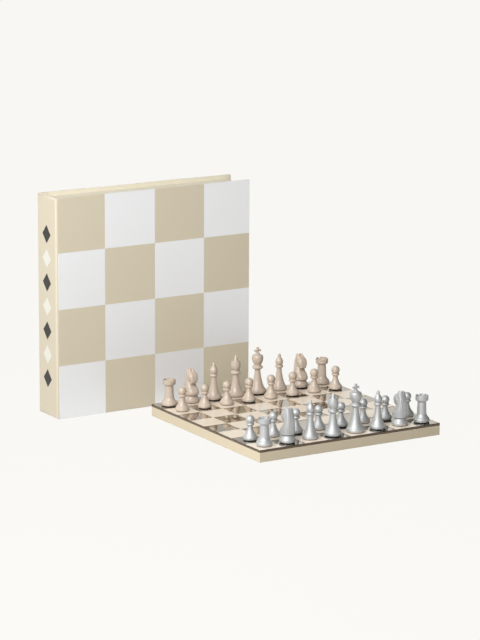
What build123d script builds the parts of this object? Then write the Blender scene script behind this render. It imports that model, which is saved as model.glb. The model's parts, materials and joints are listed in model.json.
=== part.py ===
"""Chess set: a mirror-topped board, thirty-two turned men and a book-shaped case.

Millimetres, +Z up. The origin is the centre of the board's underside. +X runs along
the board's front edge, and +Y from the silver men's side to the beige men's side,
where the case stands upright with its spine on the left.
"""
import os
from math import sqrt

from build123d import *

os.makedirs("parts", exist_ok=True)

# Playing board: a wrapped core, a lining below, a mirror sheet and painted squares above
squares_a_side = 8
square = 36.0
lining_thickness = 0.4
lining_inset = 4.0
core_thickness = 12.8
board_wrap = 0.6
sheet_thickness = 3.4
sheet_bevel = 0.4
paint_thickness = 0.2

# Felt under every man, and the rounded foot that all the men share
felt_thickness = 0.7
felt_inset = 0.2
foot_undercut = 0.9
foot_swell_height = 2.2
foot_height = 5.2
foot_shoulder = 1.0

# How hard the stem's curve pulls at its ends, as shares of its own fall and rise
stem_low_pull = 0.28
stem_high_lean = 0.12
stem_high_pull = 0.58

# Pawn
pawn_foot_radius = 9.7
pawn_neck_radius = 3.2
pawn_neck_height = 18.9
pawn_collar_radius = 5.6
pawn_collar_height = 3.6
pawn_head_seat = 3.9
pawn_head_radius = 6.0

# Rook
rook_foot_radius = 11.1
rook_column_radius = 6.5
rook_column_start = 12.0
rook_neck_radius = 5.8
rook_neck_height = 28.6
rook_tower_radius = 8.9
rook_tower_flare = 3.0
rook_tower_height = 5.2
rook_bowl_radius = 6.4
rook_bowl_depth = 2.8
rook_notches = 4
rook_notch_width = 3.4
rook_notch_depth = 2.2

# Bishop
bishop_foot_radius = 11.1
bishop_neck_radius = 3.5
bishop_neck_height = 31.4
bishop_collar_radius = 5.6
bishop_collar_height = 4.2
bishop_head_seat = 3.8
bishop_head_radius = 5.4
bishop_head_height = 12.0
bishop_widest_height = 5.2
bishop_tip_slope = 0.75
bishop_tip_radius = 1.9
bishop_bead_radius = 2.2

# Queen
queen_foot_radius = 11.9
queen_neck_radius = 3.9
queen_neck_height = 30.6
queen_collar_radius = 7.1
queen_collar_height = 4.8
queen_waist_radius = 4.8
queen_waist_height = 1.2
queen_head_radius = 7.0
queen_head_height = 14.2
queen_head_rise = 1.5
queen_head_tuck = 12.0
queen_rim_radius = 6.2
queen_rim_width = 1.0
queen_dish_depth = 1.0
queen_spire_radius = 3.4
queen_spire_height = 7.8
queen_spire_hollow_radius = 2.0
queen_spire_hollow_height = 2.6
queen_spire_tip_radius = 1.5

# King
king_foot_radius = 12.5
king_neck_radius = 3.9
king_neck_height = 34.2
king_collar_radius = 7.5
king_collar_height = 4.8
king_waist_radius = 4.8
king_waist_height = 1.0
king_crown_radius = 8.0
king_crown_height = 14.2
king_crown_rise = 1.8
king_crown_widest = 9.5
king_crown_tuck = 1.2
king_crown_lip = 6.9
king_crown_dome = 1.2
cross_base_radius = 3.2
cross_base_height = 1.8
cross_height = 10.0
cross_span = 9.6
cross_bar = 3.4
cross_waist = 2.2
cross_arm_height = 5.2
cross_thickness = 3.0

# Knight: a drum with a groove, and a horse lofted through level sections. Each section is an
# oblong with rounded corners: height over the drum, reach forward, reach back, width, corner.
knight_foot_radius = 11.1
knight_drum_height = 9.6
knight_drum_bulge = 1.2
knight_groove_radius = 8.4
knight_groove_width = 1.0
knight_seat_corner = 8.3
knight_neck = {
    "chest": (8.2, 8.8, 9.8, 15.8, 5.6),
    "throat": (15.6, 3.0, 10.2, 13.0, 4.2),
    "nape": (25.0, 3.2, 9.7, 10.8, 3.4),
    "poll": (31.0, 4.6, 8.0, 10.2, 3.2),
    "crest": (34.8, 1.6, 6.2, 8.6, 2.8),
}
knight_head = {
    "lip": (15.9, 8.1, 1.4, 8.6, 2.8),
    "nose": (20.0, 9.3, 2.0, 9.6, 2.8),
    "cheek": (26.6, 9.3, 2.6, 11.8, 3.0),
    "brow": (30.6, 7.5, 3.0, 11.2, 3.0),
    "crown": (33.6, 3.0, 3.4, 8.8, 2.2),
}
knight_ear = {
    "root": (32.6, 1.6, 3.6, 4.6, 1.8),
    "tip": (37.3, -0.4, 2.2, 1.2, 0.5),
}
knight_ear_spread = 2.4
knight_crest_round = 1.2
knight_lip_round = 0.8
knight_mouth_height = 18.2
knight_mouth_gap = 0.8
knight_mouth_depth = 4.0
knight_mouth_slope = 5.0

# Case: a tray between two hinged covers, like a book
cover_board = 2.4
case_wrap = 0.3
cover_lining = 0.2
spine_board = 3.2
joint_gap = 0.3
wall = 3.0
tray_floor = 2.0
head_overhang = 6.0
fore_overhang = 8.0
board_clearance = 2.5
board_play = 1.2

# Foam insert with four wells for the men
insert_base = 1.0
foam_clearance = 0.25
well_clearance = 2.0
well_side_play = 4.0
well_length = 252.0

# Closing magnets: bars in the fore wall's rim, and bars opposite in the front cover
magnet_length = 20.0
magnet_width = 1.6
magnet_depth = 4.0
magnet_cover_depth = 1.6
magnet_spacing = 180.0

# Where the case stands beside the board
case_offset = 123.0
case_gap = 48.3

# Sizes that follow from the ones above
board_side = squares_a_side * square
core_bottom = lining_thickness + board_wrap
sheet_bottom = core_bottom + core_thickness
sheet_top = sheet_bottom + sheet_thickness
board_thickness = sheet_top + paint_thickness


def box(low, high):
    """A block between two opposite corners."""
    size = [h - l for l, h in zip(low, high)]
    return Pos(*low) * Box(*size, align=(Align.MIN, Align.MIN, Align.MIN))


def at(radius, height):
    """A point of a half outline, in the XZ plane."""
    return Vector(radius, 0, height)


def turned(edges):
    """The solid that a half outline sweeps round Z; its ends are joined along the axis."""
    start, end = edges[0] @ 0, edges[-1] @ 1
    outline = [Line(at(0, start.Z), start)] if start.X > 0 else []
    outline += edges
    if end.X > 0:
        outline.append(Line(end, at(0, end.Z)))
    outline.append(Line(at(0, end.Z), at(0, start.Z)))
    return revolve(make_face(outline), Axis.Z)


def foot_curve(foot_radius):
    """The rounded foot: out from the felt, round the widest ring and in to the shoulder."""
    return Spline(
        at(foot_radius - foot_undercut, 0),
        at(foot_radius, foot_swell_height),
        at(foot_radius - foot_shoulder, foot_height),
        tangents=[(1, 0, 0.5), (-1, 0, 1)],
    )


def stem_curve(foot_radius, neck_radius, neck_height):
    """The hollow curve that runs from the foot's shoulder up to the neck."""
    start = at(foot_radius - foot_shoulder, foot_height)
    end = at(neck_radius, neck_height)
    fall = start.X - end.X
    rise = end.Z - start.Z
    return Bezier(
        start,
        start + Vector(-stem_low_pull * fall, 0, stem_low_pull * fall),
        end + Vector(stem_high_lean * fall, 0, -stem_high_pull * rise),
        end,
    )


def swell_handle(start, end, radius):
    """How far out both handles of a cubic curve stand, for its middle to reach the radius.

    The middle is an eighth of each end and three eighths of each handle.
    """
    return (8 * radius - start.X - end.X) / 6


def ring_curve(start, end, radius):
    """A rounded ring between two heights, bulging to the given radius half way up."""
    handle = swell_handle(start, end, radius)
    return Bezier(start, at(handle, start.Z), at(handle, end.Z), end)


def base_curves(foot_radius, neck_radius, neck_height):
    """Foot and stem, which all the turned men begin with."""
    return [foot_curve(foot_radius), stem_curve(foot_radius, neck_radius, neck_height)]


def make_pawn():
    """A short hollow stem, one collar and a ball."""
    neck = at(pawn_neck_radius, pawn_neck_height)
    seat = at(pawn_head_seat, neck.Z + pawn_collar_height)
    centre = seat.Z + sqrt(pawn_head_radius**2 - pawn_head_seat**2)
    head = ThreePointArc(seat, at(pawn_head_radius, centre), at(0, centre + pawn_head_radius))
    collar = ring_curve(neck, seat, pawn_collar_radius)
    return turned(base_curves(pawn_foot_radius, neck.X, neck.Z) + [collar, head])


def make_rook():
    """A plain column under a tower with a bowl in its top and notches through its wall."""
    neck = at(rook_neck_radius, rook_neck_height)
    rim = at(rook_tower_radius, neck.Z + rook_tower_flare)
    top = at(rook_tower_radius, rim.Z + rook_tower_height)
    column = base_curves(rook_foot_radius, rook_column_radius, rook_column_start)
    column.append(Line(column[-1] @ 1, neck))
    flare = Bezier(neck, at(rim.X, neck.Z), rim)
    body = turned(column + [flare, Line(rim, top)])
    bowl = Pos(0, 0, top.Z - rook_bowl_depth) * Cylinder(
        rook_bowl_radius, rook_bowl_depth, align=(Align.CENTER, Align.CENTER, Align.MIN)
    )
    notch = box(
        (0, -rook_notch_width / 2, top.Z - rook_notch_depth),
        (rook_tower_radius + rook_notch_width, rook_notch_width / 2, top.Z + rook_notch_depth),
    )
    notches = [Rot(0, 0, turn * 360 / rook_notches) * notch for turn in range(rook_notches)]
    return body - bowl - notches


def make_bishop():
    """A tall stem with a collar, a pointed mitre and a bead."""
    neck = at(bishop_neck_radius, bishop_neck_height)
    seat = at(bishop_head_seat, neck.Z + bishop_collar_height)
    tip = at(bishop_tip_radius, seat.Z + bishop_head_height)
    widest = at(bishop_head_radius, seat.Z + bishop_widest_height)
    mitre = Spline(seat, widest, tip, tangents=[(1, 0, 1), (-bishop_tip_slope, 0, 1)])
    bead = ring_curve(tip, at(0, tip.Z + 2 * bishop_bead_radius), bishop_bead_radius)
    collar = ring_curve(neck, seat, bishop_collar_radius)
    return turned(base_curves(bishop_foot_radius, neck.X, neck.Z) + [collar, mitre, bead])


def make_queen():
    """A tall stem with a wide collar, a barrel of a head with a dished top, and a spire."""
    neck = at(queen_neck_radius, queen_neck_height)
    waist_low = at(queen_waist_radius, neck.Z + queen_collar_height)
    waist_high = at(queen_waist_radius, waist_low.Z + queen_waist_height)
    widest = at(queen_head_radius, waist_high.Z + queen_head_height / 2)
    rim = at(queen_rim_radius, waist_high.Z + queen_head_height)
    rim_inside = at(queen_rim_radius - queen_rim_width, rim.Z)
    spire_foot = at(queen_spire_radius, rim.Z - queen_dish_depth)
    point = at(0, rim.Z + queen_spire_height)
    head = Spline(waist_high, widest, rim, tangents=[(1, 0, queen_head_rise), (-1, 0, queen_head_tuck)])
    hollow = at(queen_spire_hollow_radius, rim.Z + queen_spire_hollow_height)
    spire = Bezier(spire_foot, hollow, at(queen_spire_tip_radius, point.Z), point)
    dish = [Line(rim, rim_inside), Line(rim_inside, spire_foot)]
    collar = ring_curve(neck, waist_low, queen_collar_radius)
    outline = base_curves(queen_foot_radius, neck.X, neck.Z)
    return turned(outline + [collar, Line(waist_low, waist_high), head] + dish + [spire])


def make_cross():
    """A cross whose four arms widen towards their ends, standing in the XZ plane."""
    half = cross_bar / 2
    flare = cross_waist / 2
    middle = cross_arm_height
    side = [
        (half, 0),
        (flare, middle - flare),
        (cross_span / 2, middle - half),
        (cross_span / 2, middle + half),
        (flare, middle + flare),
        (half, cross_height),
    ]
    corners = side + [(-x, z) for x, z in reversed(side)]
    face = make_face(Polyline(*[at(x, z) for x, z in corners], close=True))
    return extrude(face, amount=cross_thickness / 2, both=True)


def make_king():
    """The tallest stem, with a wide collar, a crown that flares upwards and a cross."""
    neck = at(king_neck_radius, king_neck_height)
    waist_low = at(king_waist_radius, neck.Z + king_collar_height)
    waist_high = at(king_waist_radius, waist_low.Z + king_waist_height)
    lip = at(king_crown_lip, waist_high.Z + king_crown_height)
    foot_of_cross = at(cross_base_radius, lip.Z + king_crown_dome)
    knob = at(cross_base_radius, foot_of_cross.Z + cross_base_height)
    widest = at(king_crown_radius, waist_high.Z + king_crown_widest)
    crown = Spline(waist_high, widest, lip, tangents=[(1, 0, king_crown_rise), (-1, 0, king_crown_tuck)])
    collar = ring_curve(neck, waist_low, king_collar_radius)
    outline = base_curves(king_foot_radius, neck.X, neck.Z)
    outline += [collar, Line(waist_low, waist_high), crown]
    outline += [Line(lip, foot_of_cross), Line(foot_of_cross, knob)]
    return turned(outline) + Pos(0, 0, knob.Z - cross_bar / 2) * make_cross()


def knight_section(height, forward, back, width, corner):
    """A level oblong with rounded corners; the horse looks along -Y."""
    place = Pos(0, (back - forward) / 2, knight_drum_height + height)
    return place * RectangleRounded(width, forward + back, corner)


def make_knight():
    """A drum with a groove, and the horse: neck and chest, head, mouth and two ears."""
    reach = 2 * knight_foot_radius
    foot = foot_curve(knight_foot_radius)
    swell = foot @ 1 + foot % 1 * knight_drum_bulge
    groove = at(knight_groove_radius, knight_drum_height - knight_groove_width)
    drum = turned([foot, Bezier(foot @ 1, swell, groove), Line(groove, at(groove.X, knight_drum_height))])

    seat = knight_section(0, groove.X, groove.X, 2 * groove.X, knight_seat_corner)
    neck = loft([seat] + [knight_section(*sizes) for sizes in knight_neck.values()])
    neck = fillet(neck.faces().sort_by(Axis.Z)[-1].edges(), knight_crest_round)
    head = loft([knight_section(*sizes) for sizes in knight_head.values()])
    head = fillet(head.faces().sort_by(Axis.Z)[0].edges(), knight_lip_round)
    horse = neck + head

    lip_reach = knight_head["lip"][1]
    mouth = Rot(knight_mouth_slope, 0, 0) * box(
        (-reach, -reach, -knight_mouth_gap / 2), (reach, knight_mouth_depth, knight_mouth_gap / 2)
    )
    horse -= Pos(0, -lip_reach, knight_drum_height + knight_mouth_height) * mouth

    ear = loft([knight_section(*sizes) for sizes in knight_ear.values()], ruled=True)
    horse += [Pos(side * knight_ear_spread, 0, 0) * ear for side in (-1, 1)]
    return drum + horse


def felted(man, foot_radius):
    """A man standing on its felt, with the felt's underside at height 0."""
    felt = Cylinder(
        foot_radius - foot_undercut - felt_inset,
        felt_thickness,
        align=(Align.CENTER, Align.CENTER, Align.MIN),
    )
    return [Pos(0, 0, felt_thickness) * man, felt]


def square_corner(index):
    """The low edge of a file or rank, along X or Y."""
    return (index - squares_a_side / 2) * square


def is_painted(file, rank):
    """Beige squares and mirror squares take turns; the front left corner is beige."""
    return (file + rank) % 2 == 0


def make_board():
    """The board, from the lining under it to the squares painted on its mirror."""
    half = board_side / 2
    low, high = (-half, -half), (half, half)
    inner = half - board_wrap
    lining = box(
        (-half + lining_inset, -half + lining_inset, 0),
        (half - lining_inset, half - lining_inset, lining_thickness),
    )
    core = box((-inner, -inner, core_bottom), (inner, inner, sheet_bottom))
    wrap = box((*low, lining_thickness), (*high, sheet_bottom)) - core
    sheet = box((*low, sheet_bottom), (*high, sheet_top))
    sheet = chamfer(sheet.faces().sort_by(Axis.Z)[-1].edges(), sheet_bevel)
    reach = half - sheet_bevel
    painted = []
    for file in range(squares_a_side):
        for rank in range(squares_a_side):
            if is_painted(file, rank):
                x = [max(-reach, min(reach, square_corner(file + step))) for step in (0, 1)]
                y = [max(-reach, min(reach, square_corner(rank + step))) for step in (0, 1)]
                painted.append(box((x[0], y[0], sheet_top), (x[1], y[1], board_thickness)))
    return {
        "base_lining": lining,
        "board_core": core,
        "board_wrap": wrap,
        "mirror_sheet": sheet,
        "beige_squares": Compound(painted),
    }


def make_men():
    """Both sides on their own squares; the silver men face +Y and the beige men -Y."""
    makers = {
        "pawn": (make_pawn, pawn_foot_radius),
        "rook": (make_rook, rook_foot_radius),
        "knight": (make_knight, knight_foot_radius),
        "bishop": (make_bishop, bishop_foot_radius),
        "queen": (make_queen, queen_foot_radius),
        "king": (make_king, king_foot_radius),
    }
    kinds = {kind: felted(make(), foot_radius) for kind, (make, foot_radius) in makers.items()}
    back_rank = ["rook", "knight", "bishop", "queen", "king", "bishop", "knight", "rook"]
    pawns = ["pawn"] * len(back_rank)
    sides = {
        "silver": {0: back_rank, 1: pawns},
        "beige": {squares_a_side - 1: back_rank, squares_a_side - 2: pawns},
    }
    men = {}
    for colour, ranks in sides.items():
        turn = 180 if colour == "silver" else 0
        for rank, row in ranks.items():
            for file, kind in enumerate(row):
                x = square_corner(file) + square / 2
                y = square_corner(rank) + square / 2
                z = board_thickness if is_painted(file, rank) else sheet_top
                place = Pos(x, y, z) * Rot(0, 0, turn)
                name = f"{colour}_{kind}_{'abcdefgh'[file]}"
                men[name] = Compound([place * solid for solid in kinds[kind]])
    return men


def make_case():
    """The closed case with its front, left, bottom corner at the origin."""
    tray_inside = board_side + 2 * board_clearance
    tray_outside = tray_inside + 2 * wall
    well_depth = 2 * king_foot_radius + well_clearance
    foam_side = tray_inside - 2 * foam_clearance
    cover = case_wrap + cover_board + cover_lining
    spine = case_wrap + spine_board
    tray_depth = tray_floor + insert_base + well_depth + board_thickness + board_play
    depth = tray_depth + 2 * cover
    height = tray_outside + 2 * head_overhang
    width = spine + tray_outside + fore_overhang
    back = depth - cover

    def cover_parts(outer, inner):
        """Board, wrap and lining of a cover whose outside lies at Y = outer."""
        step = 1 if inner > outer else -1
        left = spine + joint_gap
        skin, seat = outer + step * case_wrap, inner - step * cover_lining
        board = box(
            (left + case_wrap, min(skin, seat), case_wrap),
            (width - case_wrap, max(skin, seat), height - case_wrap),
        )
        wrap = box((left, min(outer, seat), 0), (width, max(outer, seat), height)) - board
        lining = box((left, min(seat, inner), 0), (width, max(seat, inner), height))
        return board, wrap, lining

    front_board, front_wrap, front_lining = cover_parts(0, cover)
    back_board, back_wrap, back_lining = cover_parts(depth, back)
    spine_core = box((case_wrap, case_wrap, case_wrap), (spine, depth - case_wrap, height - case_wrap))
    spine_wrap = box((0, 0, 0), (spine, depth, height)) - spine_core

    x0, x1 = spine, spine + tray_outside
    z0, z1 = head_overhang, head_overhang + tray_outside
    rim, floor = cover, back - tray_floor
    foam_face = rim + board_play + board_thickness
    walls = {
        "tray_floor": box((x0, floor, z0), (x1, back, z1)),
        "tray_tail_wall": box((x0, rim, z0), (x1, floor, z0 + wall)),
        "tray_head_wall": box((x0, rim, z1 - wall), (x1, floor, z1)),
        "tray_spine_wall": box((x0, rim, z0 + wall), (x0 + wall, floor, z1 - wall)),
        "tray_fore_wall": box((x1 - wall, rim, z0 + wall), (x1, floor, z1 - wall)),
    }

    foam_x, foam_z = x0 + wall + foam_clearance, z0 + wall + foam_clearance
    base = box((foam_x, floor - insert_base, foam_z), (foam_x + foam_side, floor, foam_z + foam_side))
    foam = box((foam_x, foam_face, foam_z), (foam_x + foam_side, floor - insert_base, foam_z + foam_side))
    officer_height = felt_thickness + make_king().bounding_box().max.Z
    pawn_height = felt_thickness + make_pawn().bounding_box().max.Z
    wells = [pawn_height + well_side_play, officer_height + well_side_play]
    wells += reversed(wells)
    rail = (foam_side - sum(wells)) / (len(wells) + 1)
    well_z = foam_z + (foam_side - well_length) / 2
    x = foam_x + rail
    for well in wells:
        foam -= box((x, foam_face, well_z), (x + well, floor, well_z + well_length))
        print("well from", round(x, 2), "to", round(x + well, 2), "along the case")
        x += well + rail

    tray_bars, cover_bars = [], []
    bar_x = x1 - wall / 2
    for side in (-1, 1):
        z = height / 2 + side * magnet_spacing / 2
        x0, x1 = bar_x - magnet_width / 2, bar_x + magnet_width / 2
        z0, z1 = z - magnet_length / 2, z + magnet_length / 2
        seat = cover - cover_lining
        tray_bars.append(box((x0, rim, z0), (x1, rim + magnet_depth, z1)))
        cover_bars.append(box((x0, seat - magnet_cover_depth, z0), (x1, seat, z1)))
    walls["tray_fore_wall"] -= tray_bars
    front_board -= cover_bars
    print("case", round(width, 2), "wide,", round(depth, 2), "deep,", round(height, 2), "high")

    return {
        "front_cover_board": front_board,
        "front_cover_wrap": front_wrap,
        "front_cover_lining": front_lining,
        "front_cover_magnets": Compound(cover_bars),
        "spine_board": spine_core,
        "spine_wrap": spine_wrap,
        "back_cover_board": back_board,
        "back_cover_wrap": back_wrap,
        "back_cover_lining": back_lining,
        **walls,
        "tray_magnets": Compound(tray_bars),
        "insert_base": base,
        "foam_insert": foam,
    }


parts = make_board()
parts.update(make_men())
case_place = Pos(-board_side / 2 - case_offset, board_side / 2 + case_gap, 0)
for name, shape in make_case().items():
    parts[name] = case_place * shape
for name, shape in parts.items():
    export_step(shape, f"parts/{name}.step")
print(len(parts), "nodes")
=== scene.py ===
# %% [markdown]
# # A chess set with a mirror board and a book-shaped case
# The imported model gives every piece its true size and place. This script dresses it: it gives each
# piece its finish, and rebuilds the ones whose edges, carving or softness deserve a better mesh.
# Nothing is moved, so whatever works in the model still works here.

# %% The frame
import json
import math

import bmesh
import bpy
import numpy as np
from mathutils import Matrix, Vector


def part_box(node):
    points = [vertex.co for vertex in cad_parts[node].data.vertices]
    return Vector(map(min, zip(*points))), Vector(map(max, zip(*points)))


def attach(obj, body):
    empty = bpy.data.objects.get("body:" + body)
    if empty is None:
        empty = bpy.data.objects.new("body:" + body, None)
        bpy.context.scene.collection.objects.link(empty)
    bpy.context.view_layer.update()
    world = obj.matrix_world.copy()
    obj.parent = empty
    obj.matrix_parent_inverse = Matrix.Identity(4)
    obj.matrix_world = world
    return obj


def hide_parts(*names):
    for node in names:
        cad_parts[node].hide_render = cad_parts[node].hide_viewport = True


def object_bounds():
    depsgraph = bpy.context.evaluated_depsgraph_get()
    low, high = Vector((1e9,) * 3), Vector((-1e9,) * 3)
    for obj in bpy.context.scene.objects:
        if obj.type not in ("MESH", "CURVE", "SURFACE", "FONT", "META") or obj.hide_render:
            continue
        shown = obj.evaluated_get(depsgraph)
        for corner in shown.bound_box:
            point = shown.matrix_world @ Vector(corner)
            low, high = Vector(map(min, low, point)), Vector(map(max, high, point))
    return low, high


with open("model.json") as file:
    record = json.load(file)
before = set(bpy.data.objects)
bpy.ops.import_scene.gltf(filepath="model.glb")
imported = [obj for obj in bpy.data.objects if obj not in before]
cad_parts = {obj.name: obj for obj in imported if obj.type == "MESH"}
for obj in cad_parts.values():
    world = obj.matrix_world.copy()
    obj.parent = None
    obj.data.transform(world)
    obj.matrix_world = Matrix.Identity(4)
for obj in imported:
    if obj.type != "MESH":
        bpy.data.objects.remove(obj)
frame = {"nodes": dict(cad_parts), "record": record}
nodes = frame["nodes"]
cad_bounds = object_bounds()
MM = 0.001

# %% [markdown]
# ## Sums instead of cables
# A material is a drawing of boxes and cables, which soon becomes hard to read. A small class lets it
# be written as sums instead. A Value wraps one socket, and adding or multiplying it lays down the Math
# node that does so, in the finish that the Value belongs to.

# %% Values
def operator(operation, reflected=False):
    """A method that lays down one Math node for a Value and another number, in order or reflected."""

    def lay_down(self, other):
        pair = (other, self) if reflected else (self, other)
        return self.finish.math(operation, *pair)

    return lay_down


class Value:
    """A socket that takes part in sums. Each sum adds one Math node to its material."""

    def __init__(self, finish, socket):
        self.finish = finish
        self.socket = socket

    def __abs__(self):
        return self.finish.math("ABSOLUTE", self)

    __add__, __radd__ = operator("ADD"), operator("ADD", reflected=True)
    __sub__, __rsub__ = operator("SUBTRACT"), operator("SUBTRACT", reflected=True)
    __mul__, __rmul__ = operator("MULTIPLY"), operator("MULTIPLY", reflected=True)
    __truediv__, __rtruediv__ = operator("DIVIDE"), operator("DIVIDE", reflected=True)
    __mod__, __rmod__ = operator("FLOORED_MODULO"), operator("FLOORED_MODULO", reflected=True)
    __lt__, __gt__ = operator("LESS_THAN"), operator("GREATER_THAN")


print("a sum is written with + - * / % < > and abs()")

# %% [markdown]
# ## One class for every material
# Each finish below is one Principled shader with a few nodes in front of it. They work from the place
# of a point on its own piece, so they need no pictures and ride along when it moves. A shift of each
# piece's own keeps the grain of the men from repeating.

# %% Finishes
class Finish:
    """One material: a Principled shader and the nodes that feed it."""

    def __init__(self, name):
        self.material = bpy.data.materials.new(name)
        self.material.use_nodes = True
        self.tree = self.material.node_tree
        self.shader = self.tree.nodes["Principled BSDF"]

    def feed(self, socket, value):
        """Links a Value to a socket, or sets the socket to a plain number or colour."""
        if isinstance(value, Value):
            self.tree.links.new(value.socket, socket)
        else:
            socket.default_value = value

    def node(self, kind, settings=None, sockets=None, out=0):
        """Adds a node: first its settings, then a value or a link for each socket it uses."""
        node = self.tree.nodes.new("ShaderNode" + kind)
        for name, value in (settings or {}).items():
            setattr(node, name, value)
        for name, value in (sockets or {}).items():
            self.feed(node.inputs[name], value)
        return Value(self, node.outputs[out])

    def math(self, operation, *values):
        """A Math node of this operation on the values."""
        return self.node("Math", {"operation": operation}, dict(enumerate(values)))

    def mix(self, factor, low, high):
        """A colour that is low where the factor is 0 and high where it is 1."""
        return self.node("Mix", {"data_type": "RGBA"}, {0: factor, 6: low, 7: high}, out=2)

    def place(self):
        """Where the point is on its own piece, in metres, however the piece moves."""
        return self.node("TexCoord", out="Object")

    def own_place(self):
        """The place, shifted by an amount of each piece's own, so that pieces of one mesh differ."""
        shift = self.node("ObjectInfo", out="Random")
        return self.node("VectorMath", {"operation": "ADD"}, {0: self.place(), 1: shift})

    def axes(self, vector):
        """The three numbers of a vector, each as a Value."""
        parts = self.node("SeparateXYZ", sockets={0: vector})
        outputs = parts.socket.node.outputs
        return [Value(self, outputs[axis]) for axis in range(3)]

    def noise(self, grain, detail, stretch=(1, 1, 1)):
        """Soft noise from 0 to 1 whose spots are about one grain across, in metres."""
        scale = [share / grain for share in stretch]
        scaled = self.node("Mapping", sockets={"Vector": self.own_place(), "Scale": scale})
        return self.node("TexNoise", sockets={"Vector": scaled, "Scale": 1.0, "Detail": detail})

    def step(self, value, low, high):
        """0 below low, 1 above high and a straight ramp between them."""
        return self.node("MapRange", sockets={"Value": value, "From Min": low, "From Max": high})

    def relief(self, height, depth):
        """A bump whose height of 1 stands that many metres proud."""
        return self.node("Bump", sockets={"Height": height, "Distance": depth, "Strength": 1.0})

    def surface(self, **sockets):
        """Feeds the shader; base_color feeds its Base Color socket, and so on."""
        for name, value in sockets.items():
            socket_name = name.replace("_", " ").title().replace("Ior", "IOR")
            self.feed(self.shader.inputs[socket_name], value)
        return self.material


print("noise, mixed colours and relief are ready")

# %% [markdown]
# ## Colours as they look
# Screens store light on a curve. Undoing the curve once, here, lets every colour below be written as
# the three levels that a picture shows.

# %% Colours
def linear(level):
    """The light that one screen level, 0 to 255, stands for, by the curve that screens use."""
    share = level / 255
    return share / 12.92 if share < 0.04045 else ((share + 0.055) / 1.055) ** 2.4


def paint(red, green, blue):
    """A colour as it would be read off a screen."""
    return (linear(red), linear(green), linear(blue), 1.0)


print("a mid grey of 128 stands for", round(linear(128), 3), "of the light")

# %% [markdown]
# ## Satin lacquer on the men
# The men are turned blanks under a satin lacquer, silver on one side and a pinkish beige on the other.
# The silver is flakes in a clear binder, so it is only partly metallic. A broad noise lets the gloss
# drift and a fine one makes the orange peel, so no two men look stamped from one picture.

# %% Lacquer
GLOSS_DRIFT = 0.1


def lacquer(name, body, shade, metallic, roughness):
    """A satin lacquer whose tone and gloss drift a little."""
    finish = Finish(name)
    drift = finish.noise(grain=6 * MM, detail=3)
    peel = finish.noise(grain=0.35 * MM, detail=1)
    return finish.surface(
        base_color=finish.mix(drift, shade, body),
        metallic=metallic,
        roughness=drift * GLOSS_DRIFT + (roughness - GLOSS_DRIFT / 2),
        normal=finish.relief(peel, depth=0.004 * MM),
    )


silver_lacquer = lacquer(
    "silver_lacquer", body=paint(196, 197, 197), shade=paint(186, 188, 189), metallic=0.55, roughness=0.54
)
beige_lacquer = lacquer(
    "beige_lacquer", body=paint(200, 185, 170), shade=paint(191, 175, 159), metallic=0.0, roughness=0.22
)
print("lacquers:", silver_lacquer.name, beige_lacquer.name)

# %% [markdown]
# ## Paper and board
# Book paper wraps the board and the case, and inside are greyboard and fibreboard. Close up all are a
# mat of fibres. Two long thin noises, one along each direction, make a mat at less cost than drawn
# fibres, and a broad cloud keeps a large sheet from looking printed.

# %% Papers
FIBRE_GRAIN = 0.25 * MM
FIBRE_STRETCH = 0.3
PAPER_TOOTH = 0.03 * MM
MAT_SHARE = 0.6


def fibres(finish):
    """The mat of fibres in a sheet of paper, as one height from 0 to 1."""
    along = finish.noise(FIBRE_GRAIN, detail=3, stretch=(FIBRE_STRETCH, 1, 1))
    across = finish.noise(FIBRE_GRAIN, detail=3, stretch=(1, 1, FIBRE_STRETCH))
    return (along + across) * 0.5


def paper(name, light, dark, roughness=0.75):
    """Paper or board: its fibres and a broad cloud take it from dark to light."""
    finish = Finish(name)
    mat = fibres(finish)
    cloud = finish.noise(grain=25 * MM, detail=4)
    return finish.surface(
        base_color=finish.mix(mat * MAT_SHARE + cloud * (1 - MAT_SHARE), dark, light),
        roughness=roughness,
        normal=finish.relief(mat, PAPER_TOOTH),
    )


cream_paper = paper("cream_paper", paint(219, 206, 181), paint(209, 195, 169))
lining_paper = paper("lining_paper", paint(229, 222, 204), paint(220, 213, 193))
base_paper = paper("base_paper", paint(176, 164, 143), paint(160, 148, 128), roughness=0.9)
greyboard = paper("greyboard", paint(158, 152, 142), paint(132, 127, 118), roughness=0.95)
fibreboard = paper("fibreboard", paint(166, 142, 110), paint(140, 117, 88), roughness=0.9)
print("the fibres are about", FIBRE_GRAIN / MM, "mm thick")

# %% [markdown]
# ## The covers' checker
# The covers carry large beige squares between squares of silver foil. A picture of them would blur
# close up, so they are worked out from the position: the column and the row are whole numbers, and
# their sum is odd on beige. The foil takes on the paper's tooth, which breaks its shine, so it is only
# partly metallic.

# %% The covers' checker
case_low, case_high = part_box("spine_wrap")
TILE = 79.5 * MM
CHECK_LEFT = -2.9 * MM
CHECK_BOTTOM = -4.2 * MM
FOIL_METAL = 0.35


def cover_print():
    """Beige print and silver foil in a large checker, with a fine even tooth."""
    finish = Finish("cover_print")
    x, _, z = finish.axes(finish.place())
    column = finish.math("FLOOR", (x - (case_low.x + CHECK_LEFT)) / TILE)
    row = finish.math("FLOOR", (z - (case_low.z + CHECK_BOTTOM)) / TILE)
    beige = (column + row) % 2.0
    mat = fibres(finish)
    print_colour = finish.mix(mat, paint(208, 197, 173), paint(217, 207, 185))
    foil_colour = finish.mix(mat, paint(246, 248, 250), paint(251, 252, 253))
    return finish.surface(
        base_color=finish.mix(beige, foil_colour, print_colour),
        metallic=FOIL_METAL - beige * FOIL_METAL,
        roughness=0.5,
        normal=finish.relief(mat, depth=0.012 * MM),
    )


cover_paper = cover_print()
print("the checker's squares are", round(TILE / MM, 1), "mm")

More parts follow.
